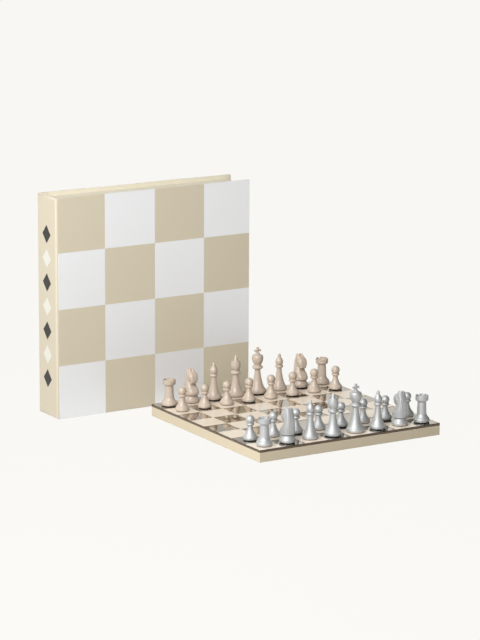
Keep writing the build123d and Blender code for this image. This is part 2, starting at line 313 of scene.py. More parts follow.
# %% [markdown]
# ## The spine
# The spine carries a chain of seven lozenges, black and white in turn. A lozenge is the set of points
# whose distances from its middle, sideways plus upwards, add up to less than its size, so two absolute
# values draw the chain. A test of how deep a point lies keeps it to the outer face.

# %% The spine
LOZENGES = 7
LOZENGE_PITCH = 34 * MM
LOZENGE_HALF_WIDTH = 12 * MM
LOZENGE_HALF_HEIGHT = 13 * MM
PRINT_DEPTH = 0.5 * MM


def spine_print():
    """Cream paper with a chain of lozenges on its outer face."""
    finish = Finish("spine_paper")
    x, y, z = finish.axes(finish.place())
    middle = (case_low + case_high) / 2
    bottom = middle.z - LOZENGES * LOZENGE_PITCH / 2
    count = (z - bottom) / LOZENGE_PITCH
    index = finish.math("FLOOR", count)
    up = abs(count - index - 0.5) * (LOZENGE_PITCH / LOZENGE_HALF_HEIGHT)
    sideways = abs(y - middle.y) / LOZENGE_HALF_WIDTH
    outside = abs(count - LOZENGES / 2) > LOZENGES / 2
    on_face = x < case_low.x + PRINT_DEPTH
    lozenge = ((up + sideways) < 1.0) * (1.0 - outside) * on_face
    mat = fibres(finish)
    ground = finish.mix(mat, paint(212, 201, 178), paint(221, 211, 190))
    ink = finish.mix(index % 2.0, paint(34, 30, 26), paint(232, 229, 220))
    return finish.surface(
        base_color=finish.mix(lozenge, ground, ink),
        roughness=0.7 - lozenge * 0.25,
        normal=finish.relief(mat, PAPER_TOOTH),
    )


spine_paper = spine_print()
print("the chain is", LOZENGES * LOZENGE_PITCH / MM, "mm long")

# %% [markdown]
# ## The playing surface
# The top is a clear sheet over a silvered layer, as in a bathroom mirror. So a man stands a little
# above his own reflection, and the dark felt under him shows between the two, which a polished top
# face alone would never show. The cut edge is a smoky brown, and every other square is painted beige.

# %% The playing surface
clear_sheet = Finish("clear_sheet").surface(
    base_color=paint(247, 243, 236), roughness=0.0, ior=1.49, transmission_weight=1.0
)

# The silvering's slight haze comes and goes.
layer = Finish("silvering")
haze = layer.noise(grain=40 * MM, detail=4)
silvering = layer.surface(
    base_color=layer.mix(haze, paint(214, 207, 196), paint(228, 223, 214)),
    metallic=1.0,
    roughness=haze * 0.02 + 0.015,
)

# The cut edge is dark, as light that enters it is lost inside.
cut_edge = Finish("smoky_edge")
smoke = cut_edge.noise(grain=8 * MM, detail=3)
smoky_edge = cut_edge.surface(
    base_color=cut_edge.mix(smoke, paint(72, 52, 32), paint(98, 74, 46)), roughness=0.25, coat_weight=0.4
)

# The paint has a thin clear coat.
coated = Finish("square_paint")
cloud = coated.noise(grain=12 * MM, detail=3)
peel = coated.noise(grain=0.5 * MM, detail=1)
square_paint = coated.surface(
    base_color=coated.mix(cloud, paint(238, 223, 204), paint(243, 230, 212)),
    roughness=0.3,
    coat_weight=0.3,
    normal=coated.relief(peel, depth=0.003 * MM),
)
print("the playing surface has", len([clear_sheet, silvering, smoky_edge, square_paint]), "finishes")

# %% [markdown]
# ## Flock, felt and nickel
# Some finishes show only when the case is open or a man is lifted. Flocked foam and felt are short
# fibres on end, which catch light at a grazing angle: the shader's sheen does that without a single
# hair. The magnets' plating has long streaks, so its noise is stretched along one direction.

# %% Inner finishes
def fuzzy(name, grain, dark, light, sheen, depth):
    """Short fibres on end, with painted shade between them and lighter tops."""
    finish = Finish(name)
    fuzz_and_pit_shade = finish.noise(grain, detail=4)
    return finish.surface(
        # The colour darkens where the fibres are low: painted shade between them.
        base_color=finish.mix(fuzz_and_pit_shade, dark, light),
        roughness=1.0,
        sheen_weight=sheen,
        normal=finish.relief(fuzz_and_pit_shade, depth),
    )


# The dark colour of each is painted shade between the fibres.
flocked_foam = fuzzy(
    "flocked_foam", 0.4 * MM, dark=paint(52, 49, 46), light=paint(78, 74, 70), sheen=0.5, depth=0.15 * MM
)
black_felt = fuzzy(
    "black_felt", 0.15 * MM, dark=paint(16, 15, 14), light=paint(40, 38, 36), sheen=0.3, depth=0.08 * MM
)
plating = Finish("nickel")
brush = plating.noise(grain=0.3 * MM, detail=2, stretch=(0.05, 1, 1))
nickel_plate = plating.surface(
    base_color=plating.mix(brush, paint(170, 168, 164), paint(198, 196, 192)),
    metallic=1.0,
    roughness=brush * 0.15 + 0.2,
)
print("inner finishes:", flocked_foam.name, black_felt.name, nickel_plate.name)

# %% [markdown]
# ## Handing the finishes out
# Each imported piece names a slot, such as cream_paper, and here every slot gets its finish. The wrapped
# boards that are rebuilt further down take theirs from the same table, so the two can't drift apart.

# %% Slots
finish_of_slot = {
    "base_lining": base_paper,
    "board_core": fibreboard,
    "cream_paper": cream_paper,
    "mirror": clear_sheet,
    "square_paint": square_paint,
    "greyboard": greyboard,
    "cover_print": cover_paper,
    "spine_paper": spine_paper,
    "lining_paper": lining_paper,
    "magnet_steel": nickel_plate,
    "foam": flocked_foam,
    "silver_men": silver_lacquer,
    "beige_men": beige_lacquer,
}
slot_of_node = {subpart["node"]: subpart["material_slot"] for subpart in frame["record"]["subparts"]}
for name, slot_name in slot_of_node.items():
    for slot in nodes[name].material_slots:
        slot.material = finish_of_slot[slot_name]
print(len(finish_of_slot), "slots on", len(slot_of_node), "nodes have their finishes")

# %% [markdown]
# ## Meshes out of the model
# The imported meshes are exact, but their edges are knife sharp, and nothing real is. Rebuilding a piece
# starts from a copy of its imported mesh, so that it keeps its true size. The copy is welded, and its
# shells, such as a man and the felt under him, are told apart.

# %% Taking meshes apart
WELD = 0.001 * MM


def cad_mesh(node_name, offset=Vector()):
    """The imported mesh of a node, welded, with the offset taken off."""
    work = bmesh.new()
    work.from_mesh(nodes[node_name].data)
    bmesh.ops.remove_doubles(work, verts=work.verts, dist=WELD)
    bmesh.ops.translate(work, verts=work.verts, vec=-offset)
    return work


def island_of(start):
    """The faces joined to one face by shared edges, in the order they are met."""
    found, todo = {start: True}, [start]
    while todo:
        for edge in todo.pop().edges:
            for face in edge.link_faces:
                if face not in found:
                    found[face] = True
                    todo.append(face)
    return list(found)


def split_islands(work):
    """The separate shells of a mesh, tallest first."""
    shells, met = [], set()
    for face in work.faces:
        if face not in met:
            shell = island_of(face)
            met.update(shell)
            heights = [vertex.co.z for member in shell for vertex in member.verts]
            shells.append((max(heights) - min(heights), shell))
    return [shell for _, shell in sorted(shells, key=lambda pair: -pair[0])]


def only(faces):
    """A new mesh with just these faces."""
    kept = bmesh.new()
    twin = {}
    for face in faces:
        for vertex in face.verts:
            if vertex not in twin:
                twin[vertex] = kept.verts.new(vertex.co)
        kept.faces.new([twin[vertex] for vertex in face.verts])
    return kept


print("corners closer than", WELD / MM, "mm are welded")

# %% [markdown]
# ## Modifiers and bodies
# Modifiers such as Bevel and Remesh do better work than a few lines could, but a part that is handed on
# should hold plain meshes. So a modifier works on a draft, and only its result, a plain mesh, is kept and
# hung on the body that it moves with.

# %% Baking and placing
SHARP = math.radians(30)


def linked(name, data):
    """A new object in the scene."""
    item = bpy.data.objects.new(name, data)
    bpy.context.scene.collection.objects.link(item)
    return item


def baked(work, *modifiers, sharp=None):
    """The mesh that these modifiers make of a worked mesh, each given as its kind and settings.

    Edges of more than the sharp angle, where one is given, keep a hard line between their faces.
    """
    draft_mesh = bpy.data.meshes.new("draft")
    bmesh.ops.recalc_face_normals(work, faces=work.faces)
    work.to_mesh(draft_mesh)
    work.free()
    draft_mesh.shade_smooth()
    if sharp:
        draft_mesh.set_sharp_from_angle(angle=sharp)
    draft = linked("draft", draft_mesh)
    for kind, settings in modifiers:
        modifier = draft.modifiers.new(kind, kind)
        for name, value in settings.items():
            setattr(modifier, name, value)
    graph = bpy.context.evaluated_depsgraph_get()
    result = bpy.data.meshes.new_from_object(draft.evaluated_get(graph))
    bpy.data.objects.remove(draft)
    bpy.data.meshes.remove(draft_mesh)
    return result


def round_over(work, edges, width, segments):
    """Rounds these edges of a worked mesh."""
    bmesh.ops.bevel(work, geom=edges, offset=width, segments=segments, profile=0.5, affect="EDGES")


def bevel_of(width, segments=3, least=SHARP):
    """A modifier that rounds sharp edges and keeps the faces beside them flat to the eye."""
    return ("BEVEL", {
        "width": width,
        "segments": segments,
        "limit_method": "ANGLE",
        "angle_limit": least,
        "harden_normals": True,
    })


def finished(name, mesh, material):
    """The mesh under its name, smooth and in one material."""
    mesh.name = name
    mesh.materials.clear()
    mesh.materials.append(material)
    mesh.shade_smooth()
    return mesh


def place_piece(name, mesh, body, replaced, at=Vector(), turn=0.0):
    """Hangs a finished mesh on its body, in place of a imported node, turned about the vertical."""
    piece = linked(name, mesh)
    piece.matrix_world = Matrix.Translation(at) @ Matrix.Rotation(turn, 4, "Z")
    bpy.context.view_layer.update()
    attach(piece, body)
    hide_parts(replaced)
    return piece


print("edges of more than", round(math.degrees(SHARP)), "degrees count as sharp")

# %% [markdown]
# ## Outlines of the turned men
# A turned piece is one outline spun about an axis, so the model's own outline is enough to make it
# again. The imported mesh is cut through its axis, and the cut is walked from top to bottom. The cut
# runs at 45 degrees, because there it misses the rook's notches and the king's cross.

# %% Outlines
CUT_ANGLE = math.radians(45)
TOUCHING = 1e-8


def sliced(work, height, normal, clear_inner=False):
    """Cuts a mesh along a plane and returns the edges that lie on it."""
    geometry = work.verts[:] + work.edges[:] + work.faces[:]
    cut = bmesh.ops.bisect_plane(
        work, geom=geometry, plane_co=(0, 0, height), plane_no=normal, clear_inner=clear_inner, dist=TOUCHING
    )
    return [item for item in cut["geom_cut"] if isinstance(item, bmesh.types.BMEdge)]


def outline_of(work):
    """Radius and height along the outline of a turned mesh, from its top down to its foot."""
    along = Vector((math.cos(CUT_ANGLE), math.sin(CUT_ANGLE), 0))
    across = Vector((-along.y, along.x, 0))
    near = {}
    for edge in sliced(work, 0, across):
        if all(vertex.co.dot(along) > -WELD for vertex in edge.verts):
            first, second = edge.verts
            near.setdefault(first, []).append(second)
            near.setdefault(second, []).append(first)
    ends = [vertex for vertex in near if len(near[vertex]) == 1]
    here = max(ends, key=lambda vertex: vertex.co.z)
    path, seen = [here], {here}
    while True:
        following = [vertex for vertex in near[here] if vertex not in seen]
        if not following:
            break
        here = min(following, key=lambda vertex: (vertex.co - here.co).length)
        path.append(here)
        seen.add(here)
    return np.array([(max(vertex.co.dot(along), 0.0), vertex.co.z) for vertex in path])


def clipped(outline, height):
    """The part of an outline below a height, closed across to the axis."""
    below = outline[outline[:, 1] < height - WELD]
    last_above = outline[len(outline) - len(below) - 1]
    radius = np.interp(height, [below[0, 1], last_above[1]], [below[0, 0], last_above[0]])
    return np.vstack([(0.0, height), (radius, height), below])


print("outlines are cut at", round(math.degrees(CUT_ANGLE)), "degrees from the squares")

# %% [markdown]
# ## Easing and spinning
# Sanding and lacquer ease every corner of a turned piece. A bevel would need a width for each corner,
# while a moving average along the outline eases them all at once. Points that a straight line would
# do for are dropped, and the line is spun in even steps, so the mesh shades cleanly.

# %% Easing and spinning
STEP = 0.06 * MM
EASE = 0.16 * MM
ROW_TOLERANCE = 0.006 * MM
NO_LENGTH = 1e-12
SPOKES = 72


def eased(outline):
    """The same outline in even steps, with its corners rounded off by a moving average."""
    lengths = np.r_[0, np.cumsum(np.hypot(*np.diff(outline, axis=0).T))]
    count = int(lengths[-1] / STEP) + 1
    even = np.linspace(0, lengths[-1], count)
    line = np.column_stack([np.interp(even, lengths, outline[:, axis]) for axis in range(2)])
    reach = int(3 * EASE / STEP)
    weights = np.exp(-0.5 * (np.arange(-reach, reach + 1) * STEP / EASE) ** 2)
    weights /= weights.sum()
    mirror = np.array([-1, 1])
    padded = np.vstack([line[reach:0:-1] * mirror, line, line[-2:-reach - 2:-1] * mirror])
    return np.column_stack([np.convolve(padded[:, axis], weights, "valid") for axis in range(2)])


def thinned(line, tolerance):
    """Drops the points that a straight line between their neighbours would do for."""
    keep, todo = {0, len(line) - 1}, [(0, len(line) - 1)]
    while todo:
        first, last = todo.pop()
        if last - first < 2:
            continue
        chord = line[last] - line[first]
        length = max(math.hypot(*chord), NO_LENGTH)
        away = line[first + 1:last] - line[first]
        distance = np.abs(chord[0] * away[:, 1] - chord[1] * away[:, 0]) / length
        worst = int(distance.argmax()) + first + 1
        if distance[worst - first - 1] > tolerance:
            keep.add(worst)
            todo += [(first, worst), (worst, last)]
    return line[sorted(keep)]


def spun(line):
    """A closed mesh from an outline that starts and ends on the axis."""
    work = bmesh.new()
    rings = []
    for radius, height in line:
        if radius < WELD:
            rings.append([work.verts.new((0, 0, height))] * SPOKES)
            continue
        turns = [2 * math.pi * spoke / SPOKES for spoke in range(SPOKES)]
        rings.append([work.verts.new((radius * math.cos(t), radius * math.sin(t), height)) for t in turns])
    for upper, lower in zip(rings, rings[1:]):
        for spoke in range(SPOKES):
            after = (spoke + 1) % SPOKES
            corners = [upper[spoke], lower[spoke], lower[after], upper[after]]
            distinct = list(dict.fromkeys(corners))
            if len(distinct) > 2:
                work.faces.new(distinct)
    return work


def spun_from(outline):
    """The turned mesh of an outline, its corners eased."""
    outline[0, 0] = outline[-1, 0] = 0.0
    line = thinned(eased(outline), ROW_TOLERANCE)
    line[0, 0] = line[-1, 0] = 0.0
    return spun(line)


print("a turned man is spun in", SPOKES, "steps")

# %% [markdown]
# ## Which man stands where
# A node's name says the side, the kind and the file, as in silver_rook_a. One packed example of each
# kind is brought to the origin and rebuilt, and the result stands in every place of its kind. That
# keeps thirty-two men down to twelve meshes, with six more for their felt.

# %% The kinds of men
BACK_RANK = ["rook", "knight", "bishop", "queen", "king", "bishop", "knight", "rook"]
FILES = "abcdefgh"
men = {}
for side in ("silver", "beige"):
    for file, kind in zip(FILES, BACK_RANK):
        men[f"{side}_{kind}_{file}"] = kind
        men[f"{side}_pawn_{file}"] = "pawn"


def standing_place(node_name):
    """The middle of a man's foot, on the board."""
    low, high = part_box(node_name)
    return Vector(((low.x + high.x) / 2, (low.y + high.y) / 2, low.z))


def man_and_felt(kind, side="silver"):
    """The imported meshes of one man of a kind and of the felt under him, standing at the origin."""
    example = next(name for name in men if men[name] == kind and name.startswith(side))
    work = cad_mesh(example, standing_place(example))
    return [only(shell) for shell in split_islands(work)]


print(len(men), "men of", len(set(men.values())), "kinds")

# %% [markdown]
# ## Pawn, bishop and queen
# These three come off the lathe and need nothing else, so the outline is all there is to them.

# %% Pawn, bishop and queen
def make_turned(kind):
    """A turned man, who is all one part, and the felt under him."""
    body, pad = man_and_felt(kind)
    return [baked(spun_from(outline_of(body)))], pad


makers = {"pawn": make_turned, "bishop": make_turned, "queen": make_turned}
print("turned and nothing else:", *makers)

# %% [markdown]
# ## The rook's tower
# A rook is turned like the rest, and then its tower is sawn across twice, which leaves four notches.
# Here a plus-shaped cutter does the sawing, and the sawn edges are broken a little, as a file would.

# %% Rook
NOTCH_WIDTH = 3.4 * MM
NOTCH_DEPTH = 2.2 * MM
SAWN_EDGE = 0.25 * MM
SAWN_CORNER = math.radians(42)


def plus_cutter(reach, half, low, high):
    """A prism in the shape of a plus sign."""
    corner = [(half, -reach), (half, -half), (reach, -half)]
    outline = []
    for quarter in range(4):
        turn = Matrix.Rotation(quarter * math.pi / 2, 2)
        outline += [turn @ Vector(point) for point in corner]
    work = bmesh.new()
    face = work.faces.new([work.verts.new((x, y, low)) for x, y in outline])
    raised = bmesh.ops.extrude_face_region(work, geom=[face])
    top = [item for item in raised["geom"] if isinstance(item, bmesh.types.BMVert)]
    bmesh.ops.translate(work, verts=top, vec=(0, 0, high - low))
    return work


def make_rook(kind):
    """The rook, turned and then sawn across twice."""
    body, pad = man_and_felt(kind)
    outline = outline_of(body)
    top = outline[:, 1].max()
    reach = 2 * outline[:, 0].max()
    saw = linked("saw", baked(plus_cutter(reach, NOTCH_WIDTH / 2, top - NOTCH_DEPTH, top + NOTCH_DEPTH)))
    cut = ("BOOLEAN", {"operation": "DIFFERENCE", "object": saw, "solver": "EXACT"})
    mesh = baked(spun_from(outline), cut, bevel_of(SAWN_EDGE, segments=2, least=SAWN_CORNER))
    bpy.data.objects.remove(saw)
    return [mesh], pad


makers["rook"] = make_rook
print("the rook's notches are", NOTCH_WIDTH / MM, "mm wide and", NOTCH_DEPTH / MM, "mm deep")

# %% [markdown]
# ## The king's cross
# The cross is no turned shape. It is cut out of the model's mesh above the last disc of the crown, and
# its edges are rounded well, because hands and boxes wear a cross first. Its root goes a little way
# down into the disc, so that no gap shows where the two meet.

# %% King
DISC_RADIUS = 3.0 * MM
CROSS_EDGE = 0.45 * MM
CROSS_ROOT = 0.4 * MM
SAME_PLANE = math.radians(1)


def above(work, height):
    """The part of a mesh above a height, with its cut closed."""
    bmesh.ops.edgeloop_fill(work, edges=sliced(work, height, (0, 0, 1), clear_inner=True))
    bmesh.ops.dissolve_limit(work, angle_limit=SAME_PLANE, verts=work.verts, edges=work.edges)
    return work


def make_king(kind):
    """The king's turned part and his cross."""
    body, pad = man_and_felt(kind)
    outline = outline_of(body.copy())
    disc_top = outline[outline[:, 0] > DISC_RADIUS][:, 1].max()
    cross = above(body, disc_top + WELD)
    for vertex in cross.verts:
        if vertex.co.z < disc_top + 2 * WELD:
            vertex.co.z -= CROSS_ROOT
    stem = outline[outline[:, 1] < disc_top + WELD]
    stem = stem[int((stem[:, 0] > DISC_RADIUS).argmax()):]
    stem = np.vstack([(0.0, disc_top), stem])
    return [baked(spun_from(stem)), baked(cross, bevel_of(CROSS_EDGE))], pad


makers["king"] = make_king
print("the cross is rounded by", CROSS_EDGE / MM, "mm")

# %% [markdown]
# ## Strokes of the carver
# The knight is the one man that no lathe can make: he is carved by hand. Here a stroke pushes each
# point of the horse's skin in or out along its normal, by a smooth bump or step of its distance from
# a place. A sculpting brush would give the same look, but no one could read or change it afterwards.

# %% Strokes
def rise(value, start, end):
    """0 before start, 1 after end and a smooth climb between them."""
    share = np.clip((value - start) / (end - start), 0, 1)
    return share * share * (3 - 2 * share)


def bump(distance, reach):
    """1 at no distance, falling smoothly to 0 at the reach."""
    return 1 - rise(np.abs(distance), 0, reach)


class Horse:
    """The points of the horse's skin in millimetres: across, ahead to the nose and up from the drum.

    side, back and front say how squarely each point faces that way, and push how far it moves.
    """

    def __init__(self, places, normals, drum_top):
        self.x = places[:, 0] / MM
        self.ahead = -places[:, 1] / MM
        self.up = (places[:, 2] - drum_top) / MM
        self.side = rise(np.abs(normals[:, 0]), 0.45, 0.8)
        self.back = rise(normals[:, 1], 0.4, 0.75)
        self.front = rise(-normals[:, 1], 0.3, 0.6)
        self.push = np.zeros_like(self.x)


print("half way up, a rise stands at", rise(0.5, 0, 1))

# %% [markdown]
# ## The mane
# The mane stands proud of the neck, with a groove along its front edge. Its strands are the troughs of
# a wave that a slower wave bends a little, because hair in ruled lines looks stamped.

# %% The mane
MANE_PROUD, MANE_GROOVE = 0.45, 0.35
STRAND_DEPTH, LOCK_DEPTH = 0.3, 0.28
TROUGH = 0.6


def carve_mane(horse):
    """The mane on both sides, and its locks down the back of the neck."""
    push = horse.push
    front_of_mane = -3.2 - 1.6 * np.sin((horse.up - 4) / 9)
    in_mane = 1 - rise(horse.ahead, front_of_mane - 0.3, front_of_mane + 0.3)
    tall = rise(horse.up, 1.5, 5.0) * (1 - rise(horse.up, 33.5, 35.5))
    push += MANE_PROUD * in_mane * horse.side * tall
    push -= MANE_GROOVE * bump(horse.ahead - front_of_mane - 0.55, 0.6) * horse.side * tall
    strand = np.abs(np.sin(horse.ahead * 1.5 + 0.8 * np.sin(horse.up / 5.5))) ** TROUGH
    push -= STRAND_DEPTH * (1 - strand) * in_mane * horse.side * tall
    lock = np.abs(np.sin(horse.x * 1.25 + 0.7 * np.sin(horse.up / 6.0))) ** TROUGH
    push -= LOCK_DEPTH * (1 - lock) * horse.back * tall


print("the mane stands", MANE_PROUD, "mm proud")

# %% [markdown]
# ## The face
# A round cheek with a furrow behind it, an eye under a brow, a nostril, the corner of the mouth and a
# dip down the bridge of the nose: at this size each is a stroke or two of under a millimetre. Each has
# its place on the side of the head, given ahead and up.

# %% The face
CHEEK = (2.6, 24.6)
EYE = (5.4, 28.3)
BROW = (5.2, 30.0)
NOSTRIL = (7.7, 20.6)
MOUTH_CORNER = (4.3, 18.4)


def carve_face(horse):
    """Cheek, eye, brow, nostril, mouth corner and the bridge of the nose."""
    ahead, up, side, push = horse.ahead, horse.up, horse.side, horse.push
    cheek = np.hypot(ahead - CHEEK[0], (up - CHEEK[1]) * 0.85)
    push += 0.4 * (1 - rise(cheek, 3.2, 4.6)) * side * rise(ahead, -3.0, -1.0)
    push -= 0.3 * bump(cheek - 4.8, 0.8) * side * (1 - rise(up, 25.5, 28.5)) * rise(ahead, -2.4, -1.0)
    eye = np.hypot(ahead - EYE[0], (up - EYE[1] + (ahead - EYE[0]) * 0.25) * 1.5)
    push -= 0.55 * bump(eye - 1.25, 0.7) * side
    push += 0.25 * bump(eye, 0.9) * side
    brow = np.hypot(ahead - BROW[0], (up - BROW[1] + (ahead - EYE[0]) * 0.3) * 1.6)
    push += 0.3 * bump(brow, 1.7) * side
    nostril = np.hypot(ahead - NOSTRIL[0], (up - NOSTRIL[1]) * 1.2)
    push -= 0.6 * bump(nostril, 0.95) * side
    push += 0.2 * bump(nostril - 1.35, 0.5) * side
    corner = np.hypot(ahead - MOUTH_CORNER[0], up - MOUTH_CORNER[1])
    push -= 0.9 * bump(corner, 1.25) * side
    bridge = rise(up, 19, 22) * (1 - rise(up, 28, 31))
    push -= 0.14 * bump(np.abs(horse.x) - 3.1, 1.3) * horse.front * bridge * rise(ahead, 5.5, 7.5)


print("the eye is", EYE[1], "mm above the drum")

# %% [markdown]
# ## Ears, chest and foot
# The ears are thickened, hollowed in front and parted. A fold runs round the chest, with a soft swell
# under it. At the foot the neck spreads and is cut in under itself, so that a dark line parts the
# horse from his drum, as in the photo.

# %% Ears, chest and foot
EAR_SIDE = 2.4
BETWEEN_EARS = 1.2
FOLD_HEIGHT = 10.2


def carve_ears(horse):
    """The ears' thickness, the hollow between them and the hollow in front of each."""
    x, ahead, up, push = horse.x, horse.ahead, horse.up, horse.push
    in_ear = rise(up, 33.2, 34.6) * bump(np.abs(x) - EAR_SIDE, 2.4)
    push += 0.55 * in_ear
    push -= 1.5 * bump(np.hypot(x, ahead - BETWEEN_EARS), 2.3) * rise(up, 32.6, 33.8)
    in_shell = rise(up, 33.4, 34.2) * (1 - rise(up, 35.6, 36.6)) * (1 - rise(ahead, 1.2, 2.0))
    push -= 0.8 * bump(np.abs(x) - EAR_SIDE, 1.0) * horse.front * in_shell


def carve_body(horse):
    """The fold round the chest, the spread of the foot and the cut under it."""
    x, ahead, up, push = horse.x, horse.ahead, horse.up, horse.push
    fold = up - (FOLD_HEIGHT + 0.35 * (ahead - 2))
    push -= 0.35 * bump(fold, 0.9) * rise(ahead, -2.0, 1.5) * rise(np.abs(x), 2.0, 4.5)
    push += 0.3 * bump(fold + 1.5, 1.4) * rise(ahead, -2.0, 1.5) * rise(np.abs(x), 2.0, 4.5)
    push += 0.7 * (1 - rise(up, 1.2, 4.5))
    push -= 1.3 * (1 - rise(up, 0.5, 1.6))


print("the fold round the chest is", FOLD_HEIGHT, "mm above the drum")

# %% [markdown]
# ## The knight
# His horse starts as the model's blocked-out solid, melted into an even skin of small squares, because
# strokes need points everywhere. With the strokes, the chin is drawn back and the mane's top raised,
# and squares that the shape doesn't need are merged. The drum under the horse is turned.

# %% Knight
SKIN = 0.24 * MM
MELT_ROUNDS = 8
SETTLE_ROUNDS = 2
KEPT_SHARE = 0.3
CHIN_BACK, CREST_UP = 2.2, 2.1
DRUM_LOWEST = 6 * MM
GROOVE_TOLERANCE = 0.02 * MM
CLEAR_OF_DRUM = 20 * WELD
KNIGHT_TURN = {"beige": 0.0, "silver": math.pi}


def shifts(horse):
    """How far each point moves forward and up: the chin draws back and the mane's top stands up."""
    ahead, up = horse.ahead, horse.up
    chin = rise(ahead, 3.0, 6.0) * rise(up, 13.5, 15.5) * (1 - rise(up, 17.4, 18.2))
    crest = rise(-ahead, 2.2, 3.8) * rise(up, 31.0, 34.6)
    return -CHIN_BACK * chin, CREST_UP * crest


def vectors(items, name):
    """One vector of each item, as rows of three numbers."""
    numbers = np.empty(len(items) * 3)
    items.foreach_get(name, numbers)
    return numbers.reshape(-1, 3)


def carved(mesh, drum_top):
    """The skin of the horse after every stroke."""
    places = vectors(mesh.vertices, "co")
    normals = vectors(mesh.vertex_normals, "vector")
    horse = Horse(places, normals, drum_top)
    for carve in (carve_mane, carve_face, carve_ears, carve_body):
        carve(horse)
    forward, upward = shifts(horse)
    shift = np.column_stack([np.zeros_like(forward), -forward, upward])
    moved = places + (normals * horse.push[:, None] + shift) * MM
    mesh.vertices.foreach_set("co", moved.ravel())
    mesh.update()
    return mesh


def joined(*meshes):
    """One worked mesh out of several finished ones."""
    work = bmesh.new()
    for mesh in meshes:
        work.from_mesh(mesh)
    return work


def make_knight(kind):
    """The knight's drum and his horse, facing the way the beige ones do."""
    body, pad = man_and_felt(kind, "beige")
    outline = outline_of(body.copy())
    low_half = outline[outline[:, 1] < outline[:, 1].max() / 2]
    groove = low_half[low_half[:, 1] > DRUM_LOWEST]
    drum_top = groove[groove[:, 0] < groove[:, 0].min() + GROOVE_TOLERANCE][:, 1].max()
    print("the drum's top is at", round(drum_top / MM, 2), "mm")
    horse = baked(
        above(body, drum_top + CLEAR_OF_DRUM),
        ("REMESH", {"mode": "VOXEL", "voxel_size": SKIN}),
        ("SMOOTH", {"factor": 0.5, "iterations": MELT_ROUNDS}),
    )
    print("the horse's skin has", len(horse.vertices), "points")
    horse = baked(
        joined(carved(horse, drum_top)),
        ("SMOOTH", {"factor": 0.5, "iterations": SETTLE_ROUNDS}),
        ("DECIMATE", {"ratio": KEPT_SHARE}),
    )
    drum = baked(spun_from(clipped(outline, drum_top)))
    return [drum, horse], pad


makers["knight"] = make_knight
print(len(makers), "kinds of men can be made")

# %% [markdown]
# ## Setting up the men
# Each kind is made once, given both lacquers, and then set up. A man and his felt are two pieces in
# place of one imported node. The silver knights are turned about, because both sides face the middle.

# %% Setting up the men
FELT_EDGE = 0.15 * MM
lacquers = {"silver": silver_lacquer, "beige": beige_lacquer}
for kind in dict.fromkeys(["pawn"] + BACK_RANK):
    parts, pad = makers[kind](kind)
    pad_mesh = finished(f"{kind}_felt", baked(pad, bevel_of(FELT_EDGE, segments=2)), black_felt)
    plain = parts[0] if len(parts) == 1 else baked(joined(*parts))
    print(kind, "has", len(plain.polygons), "faces")
    for side, coat in lacquers.items():
        mesh = finished(f"{side}_{kind}", plain.copy(), coat)
        turn = KNIGHT_TURN[side] if kind == "knight" else 0.0
        for name in [n for n in men if men[n] == kind and n.startswith(side)]:
            at = standing_place(name)
            place_piece(f"{name}_body", mesh, name, name, at, turn)
            place_piece(f"{name}_felt", pad_mesh, name, name, at)

# %% [markdown]
# ## The mirror sheet
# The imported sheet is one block, which stands for the clear layer and its backing together. Here it
# gets a small bevel round its top and its smoky sides, and the silvering is a single square inside it,
# just short of the sides and as deep as the men's reflections sink in the photo.

# %% The mirror sheet
SILVER_INSET = 0.02 * MM
CLEAR_DEPTH = 1.2 * MM
SHEET_BEVEL = 0.4 * MM
UPRIGHT = 0.1
CORNERS = [(-1, -1), (1, -1), (1, 1), (-1, 1)]


def mesh_piece(name, vertices, faces, *materials):
    """A mesh object from its corners and faces."""
    mesh = bpy.data.meshes.new(name)
    mesh.from_pydata([tuple(vertex) for vertex in vertices], [], faces)
    for material in materials:
        mesh.materials.append(material)
    return linked(name, mesh)


def square_at(half, height):
    """The corners of a level square."""
    return [(x * half, y * half, height) for x, y in CORNERS]


def sheet_pieces():
    """The clear block with its smoky sides, and the silvering inside it."""
    low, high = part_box("mirror_sheet")
    half = (high.x - low.x) / 2
    base = square_at(half, low.z)
    rim = square_at(half, high.z - SHEET_BEVEL)
    top = square_at(half - SHEET_BEVEL, high.z)
    around = [(corner, (corner + 1) % 4) for corner in range(4)]
    sides = [(a, b, b + 4, a + 4) for a, b in around]
    bevels = [(a + 4, b + 4, b + 8, a + 8) for a, b in around]
    faces = [(0, 3, 2, 1), (8, 9, 10, 11)] + sides + bevels
    clear = mesh_piece("clear_block", base + rim + top, faces, clear_sheet, smoky_edge)
    for polygon in clear.data.polygons:
        if abs(polygon.normal.z) < UPRIGHT:
            polygon.material_index = 1
    mirror = square_at(half - SILVER_INSET, high.z - CLEAR_DEPTH)
    return clear, mesh_piece("silvering", mirror, [(0, 1, 2, 3)], silvering)


for piece in sheet_pieces():
    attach(piece, "board")
    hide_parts("mirror_sheet")
    print(piece.name, "has", len(piece.data.polygons), "faces")

# %% [markdown]
# ## Boards wrapped in paper
# Paper pulled round a board rounds over at the edges, on the spine most of all. So each wrapped piece
# gets a copy with round edges, whose flat faces keep flat shading right up to the curve. On the spine
# only the outer edges are round, as the inner ones meet the covers and the tray. Its board ends a
# little inside the paper, so that no two faces lie in one plane.

# %% Wrapped boards
ROUND_SEGMENTS = 5
TURNED_IN = 0.1 * MM
STILL_SMOOTH = math.radians(38)


def cuboid(low, high):
    """A block between two corners."""
    work = bmesh.new()
    bmesh.ops.create_cube(work, size=1.0)
    bmesh.ops.scale(work, verts=work.verts, vec=high - low)
    bmesh.ops.translate(work, verts=work.verts, vec=(low + high) / 2)
    return work


